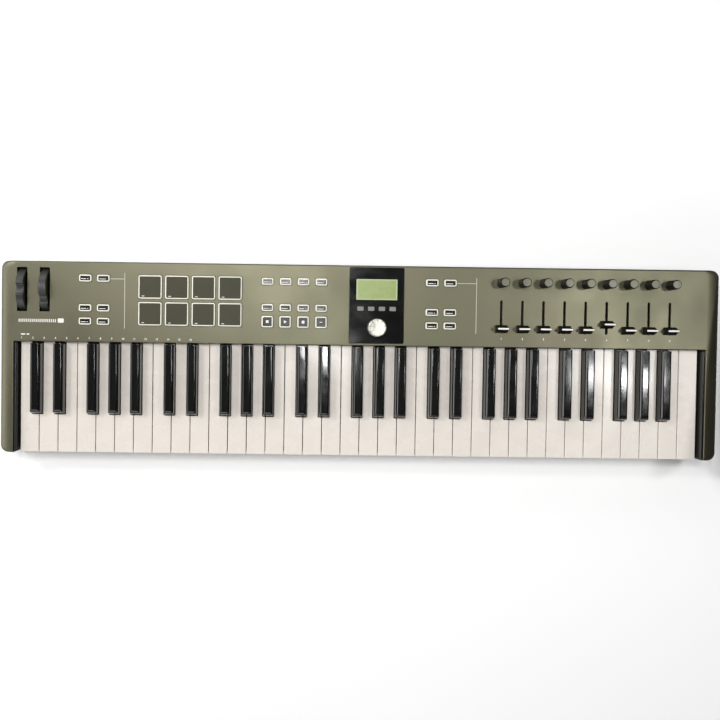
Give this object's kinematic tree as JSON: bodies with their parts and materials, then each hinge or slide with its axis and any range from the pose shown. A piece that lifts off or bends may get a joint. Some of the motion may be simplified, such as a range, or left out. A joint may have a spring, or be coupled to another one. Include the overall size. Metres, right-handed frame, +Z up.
{
  "type": "synthesizer keyboard",
  "caption": "Slab synthesizer keyboard: hinged key combs in front of a control panel with wheels, pads, buttons, display, dial, knobs and faders.",
  "frame": {"origin": "centre of the outline, on the surface that the feet stand on", "axes": "+X along the keyboard towards the high notes, +Y away from the player, +Z up"},
  "size_m": [0.892, 0.237, 0.0659],
  "materials": {
    "olive_case": "satin metallic olive-bronze lacquer",
    "black_plastic": "moulded satin",
    "gloss_black": "polished",
    "display_green": "backlit display behind a clear window",
    "board_green": "solder mask",
    "black_rubber": "matt",
    "red_felt": "felt",
    "plated_steel": "bright plated",
    "dark_wheel": "satin soft-touch",
    "spun_aluminium": "spun top",
    "white_keys": "satin gloss",
    "sharp_keys": "high gloss",
    "knob_black": "satin, knob tops and fader lines inlaid in a second colour",
    "cream_silicone": "translucent cream moulding with dark printed tops",
    "grey_silicone": "matt grey"
  },
  "bodies": {
    "housing": {"top_case": "olive_case", "bottom_case": "black_plastic", "key_chassis": "black_plastic", "display_fascia": "gloss_black", "display_module": "display_green", "key_contact_board": "board_green", "key_contact_rubber": "black_rubber", "key_stop_felt": "red_felt", "control_board": "board_green", "main_board": "board_green", "midi_socket": "black_plastic", "usb_socket": "plated_steel", "pedal_socket": "black_plastic", "wheel_cradle": "black_plastic", "foot_1": "black_rubber", "foot_2": "black_rubber", "foot_3": "black_rubber", "foot_4": "black_rubber"},
    "keys_naturals_a_1": {"keys_naturals_a_1": "white_keys"},
    "keys_naturals_b_1": {"keys_naturals_b_1": "white_keys"},
    "keys_sharps_1": {"keys_sharps_1": "sharp_keys"},
    "keys_naturals_a_2": {"keys_naturals_a_2": "white_keys"},
    "keys_naturals_b_2": {"keys_naturals_b_2": "white_keys"},
    "keys_sharps_2": {"keys_sharps_2": "sharp_keys"},
    "keys_naturals_a_3": {"keys_naturals_a_3": "white_keys"},
    "keys_naturals_b_3": {"keys_naturals_b_3": "white_keys"},
    "keys_sharps_3": {"keys_sharps_3": "sharp_keys"},
    "keys_naturals_a_4": {"keys_naturals_a_4": "white_keys"},
    "keys_naturals_b_4": {"keys_naturals_b_4": "white_keys"},
    "keys_sharps_4": {"keys_sharps_4": "sharp_keys"},
    "keys_naturals_a_5": {"keys_naturals_a_5": "white_keys"},
    "keys_naturals_b_5": {"keys_naturals_b_5": "white_keys"},
    "keys_sharps_5": {"keys_sharps_5": "sharp_keys"},
    "pitch_wheel": {"pitch_wheel": "dark_wheel"},
    "mod_wheel": {"mod_wheel": "dark_wheel"},
    "encoder_rotor": {"encoder_rotor": "plated_steel"},
    "encoder_knob": {"encoder_knob": "spun_aluminium"},
    "knob_1": {"knob_1": "knob_black"},
    "knob_2": {"knob_2": "knob_black"},
    "knob_3": {"knob_3": "knob_black"},
    "knob_4": {"knob_4": "knob_black"},
    "knob_5": {"knob_5": "knob_black"},
    "knob_6": {"knob_6": "knob_black"},
    "knob_7": {"knob_7": "knob_black"},
    "knob_8": {"knob_8": "knob_black"},
    "knob_9": {"knob_9": "knob_black"},
    "fader_1": {"fader_1": "knob_black"},
    "fader_2": {"fader_2": "knob_black"},
    "fader_3": {"fader_3": "knob_black"},
    "fader_4": {"fader_4": "knob_black"},
    "fader_5": {"fader_5": "knob_black"},
    "fader_6": {"fader_6": "knob_black"},
    "fader_7": {"fader_7": "knob_black"},
    "fader_8": {"fader_8": "knob_black"},
    "fader_9": {"fader_9": "knob_black"},
    "pad_mat": {"pad_mat": "cream_silicone"},
    "button_mat_left": {"button_mat_left": "cream_silicone"},
    "button_mat_middle": {"button_mat_middle": "cream_silicone"},
    "button_mat_right": {"button_mat_right": "cream_silicone"},
    "button_mat_display": {"button_mat_display": "grey_silicone"}
  },
  "joints": [
    {"name": "press_naturals_a_1", "type": "hinge", "parent": "housing", "child": "keys_naturals_a_1", "pos_m": [-0.34075, 0.046, 0.0304], "axis": [1, 0, 0], "range_deg": [0, 3.4], "stiffness_Nm_per_rad": 3, "springref_deg": -9.17},
    {"name": "press_naturals_b_1", "type": "hinge", "parent": "housing", "child": "keys_naturals_b_1", "pos_m": [-0.34075, 0.046, 0.0304], "axis": [1, 0, 0], "range_deg": [0, 3.4], "stiffness_Nm_per_rad": 2.4, "springref_deg": -9.17},
    {"name": "press_sharps_1", "type": "hinge", "parent": "housing", "child": "keys_sharps_1", "pos_m": [-0.34075, 0.046, 0.0304], "axis": [1, 0, 0], "range_deg": [0, 3.4], "stiffness_Nm_per_rad": 2.4, "springref_deg": -8.02},
    {"name": "press_naturals_a_2", "type": "hinge", "parent": "housing", "child": "keys_naturals_a_2", "pos_m": [-0.17625, 0.046, 0.0304], "axis": [1, 0, 0], "range_deg": [0, 3.4], "stiffness_Nm_per_rad": 3, "springref_deg": -9.17},
    {"name": "press_naturals_b_2", "type": "hinge", "parent": "housing", "child": "keys_naturals_b_2", "pos_m": [-0.17625, 0.046, 0.0304], "axis": [1, 0, 0], "range_deg": [0, 3.4], "stiffness_Nm_per_rad": 2.4, "springref_deg": -9.17},
    {"name": "press_sharps_2", "type": "hinge", "parent": "housing", "child": "keys_sharps_2", "pos_m": [-0.17625, 0.046, 0.0304], "axis": [1, 0, 0], "range_deg": [0, 3.4], "stiffness_Nm_per_rad": 2.4, "springref_deg": -8.02},
    {"name": "press_naturals_a_3", "type": "hinge", "parent": "housing", "child": "keys_naturals_a_3", "pos_m": [-0.01175, 0.046, 0.0304], "axis": [1, 0, 0], "range_deg": [0, 3.4], "stiffness_Nm_per_rad": 3, "springref_deg": -9.17},
    {"name": "press_naturals_b_3", "type": "hinge", "parent": "housing", "child": "keys_naturals_b_3", "pos_m": [-0.01175, 0.046, 0.0304], "axis": [1, 0, 0], "range_deg": [0, 3.4], "stiffness_Nm_per_rad": 2.4, "springref_deg": -9.17},
    {"name": "press_sharps_3", "type": "hinge", "parent": "housing", "child": "keys_sharps_3", "pos_m": [-0.01175, 0.046, 0.0304], "axis": [1, 0, 0], "range_deg": [0, 3.4], "stiffness_Nm_per_rad": 2.4, "springref_deg": -8.02},
    {"name": "press_naturals_a_4", "type": "hinge", "parent": "housing", "child": "keys_naturals_a_4", "pos_m": [0.15275, 0.046, 0.0304], "axis": [1, 0, 0], "range_deg": [0, 3.4], "stiffness_Nm_per_rad": 3, "springref_deg": -9.17},
    {"name": "press_naturals_b_4", "type": "hinge", "parent": "housing", "child": "keys_naturals_b_4", "pos_m": [0.15275, 0.046, 0.0304], "axis": [1, 0, 0], "range_deg": [0, 3.4], "stiffness_Nm_per_rad": 2.4, "springref_deg": -9.17},
    {"name": "press_sharps_4", "type": "hinge", "parent": "housing", "child": "keys_sharps_4", "pos_m": [0.15275, 0.046, 0.0304], "axis": [1, 0, 0], "range_deg": [0, 3.4], "stiffness_Nm_per_rad": 2.4, "springref_deg": -8.02},
    {"name": "press_naturals_a_5", "type": "hinge", "parent": "housing", "child": "keys_naturals_a_5", "pos_m": [0.329, 0.046, 0.0304], "axis": [1, 0, 0], "range_deg": [0, 3.4], "stiffness_Nm_per_rad": 3, "springref_deg": -9.17},
    {"name": "press_naturals_b_5", "type": "hinge", "parent": "housing", "child": "keys_naturals_b_5", "pos_m": [0.31725, 0.046, 0.0304], "axis": [1, 0, 0], "range_deg": [0, 3.4], "stiffness_Nm_per_rad": 2.4, "springref_deg": -9.17},
    {"name": "press_sharps_5", "type": "hinge", "parent": "housing", "child": "keys_sharps_5", "pos_m": [0.31725, 0.046, 0.0304], "axis": [1, 0, 0], "range_deg": [0, 3.4], "stiffness_Nm_per_rad": 2.4, "springref_deg": -8.02},
    {"name": "pitch_bend", "type": "hinge", "parent": "housing", "child": "pitch_wheel", "pos_m": [-0.419, 0.0834, 0.0307], "axis": [-1, 0, 0], "range_deg": [-34, 34], "stiffness_Nm_per_rad": 0.12},
    {"name": "modulation", "type": "hinge", "parent": "housing", "child": "mod_wheel", "pos_m": [-0.3912, 0.0834, 0.0307], "axis": [-1, 0, 0], "range_deg": [0, 55]},
    {"name": "dial_turn", "type": "hinge", "parent": "housing", "child": "encoder_rotor", "pos_m": [0.0186, 0.0415, 0.0458], "axis": [0, 0, 1], "continuous": true},
    {"name": "dial_push", "type": "slide", "parent": "encoder_rotor", "child": "encoder_knob", "axis": [0, 0, -1], "range_m": [0, 0.0007], "stiffness_N_per_m": 2500, "springref_m": -0.001},
    {"name": "knob_turn_1", "type": "hinge", "parent": "housing", "child": "knob_1", "pos_m": [0.1733, 0.0988, 0.0507], "axis": [0, 0, 1], "continuous": true},
    {"name": "knob_turn_2", "type": "hinge", "parent": "housing", "child": "knob_2", "pos_m": [0.1995, 0.0988, 0.0507], "axis": [0, 0, 1], "continuous": true},
    {"name": "knob_turn_3", "type": "hinge", "parent": "housing", "child": "knob_3", "pos_m": [0.2257, 0.0988, 0.0507], "axis": [0, 0, 1], "continuous": true},
    {"name": "knob_turn_4", "type": "hinge", "parent": "housing", "child": "knob_4", "pos_m": [0.2519, 0.0988, 0.0507], "axis": [0, 0, 1], "continuous": true},
    {"name": "knob_turn_5", "type": "hinge", "parent": "housing", "child": "knob_5", "pos_m": [0.2781, 0.0988, 0.0507], "axis": [0, 0, 1], "continuous": true},
    {"name": "knob_turn_6", "type": "hinge", "parent": "housing", "child": "knob_6", "pos_m": [0.3043, 0.0988, 0.0507], "axis": [0, 0, 1], "continuous": true},
    {"name": "knob_turn_7", "type": "hinge", "parent": "housing", "child": "knob_7", "pos_m": [0.3305, 0.0988, 0.0507], "axis": [0, 0, 1], "continuous": true},
    {"name": "knob_turn_8", "type": "hinge", "parent": "housing", "child": "knob_8", "pos_m": [0.3567, 0.0988, 0.0507], "axis": [0, 0, 1], "continuous": true},
    {"name": "knob_turn_9", "type": "hinge", "parent": "housing", "child": "knob_9", "pos_m": [0.3829, 0.0988, 0.0507], "axis": [0, 0, 1], "continuous": true},
    {"name": "fader_slide_1", "type": "slide", "parent": "housing", "child": "fader_1", "axis": [0, 1, 0], "range_m": [0, 0.03]},
    {"name": "fader_slide_2", "type": "slide", "parent": "housing", "child": "fader_2", "axis": [0, 1, 0], "range_m": [0, 0.03]},
    {"name": "fader_slide_3", "type": "slide", "parent": "housing", "child": "fader_3", "axis": [0, 1, 0], "range_m": [0, 0.03]},
    {"name": "fader_slide_4", "type": "slide", "parent": "housing", "child": "fader_4", "axis": [0, 1, 0], "range_m": [0, 0.03]},
    {"name": "fader_slide_5", "type": "slide", "parent": "housing", "child": "fader_5", "axis": [0, 1, 0], "range_m": [0, 0.03]},
    {"name": "fader_slide_6", "type": "slide", "parent": "housing", "child": "fader_6", "axis": [0, 1, 0], "range_m": [-0.007, 0.023]},
    {"name": "fader_slide_7", "type": "slide", "parent": "housing", "child": "fader_7", "axis": [0, 1, 0], "range_m": [0, 0.03]},
    {"name": "fader_slide_8", "type": "slide", "parent": "housing", "child": "fader_8", "axis": [0, 1, 0], "range_m": [0, 0.03]},
    {"name": "fader_slide_9", "type": "slide", "parent": "housing", "child": "fader_9", "axis": [0, 1, 0], "range_m": [0, 0.03]},
    {"name": "pad_press", "type": "slide", "parent": "housing", "child": "pad_mat", "axis": [0, 0, -1], "range_m": [0, 0.001], "stiffness_N_per_m": 5000, "springref_m": -0.001},
    {"name": "button_left_press", "type": "slide", "parent": "housing", "child": "button_mat_left", "axis": [0, 0, -1], "range_m": [0, 0.001], "stiffness_N_per_m": 1800, "springref_m": -0.001},
    {"name": "button_middle_press", "type": "slide", "parent": "housing", "child": "button_mat_middle", "axis": [0, 0, -1], "range_m": [0, 0.001], "stiffness_N_per_m": 2600, "springref_m": -0.001},
    {"name": "button_right_press", "type": "slide", "parent": "housing", "child": "button_mat_right", "axis": [0, 0, -1], "range_m": [0, 0.001], "stiffness_N_per_m": 1800, "springref_m": -0.001},
    {"name": "button_display_press", "type": "slide", "parent": "housing", "child": "button_mat_display", "axis": [0, 0, -1], "range_m": [0, 0.001], "stiffness_N_per_m": 1000, "springref_m": -0.001}
  ]
}
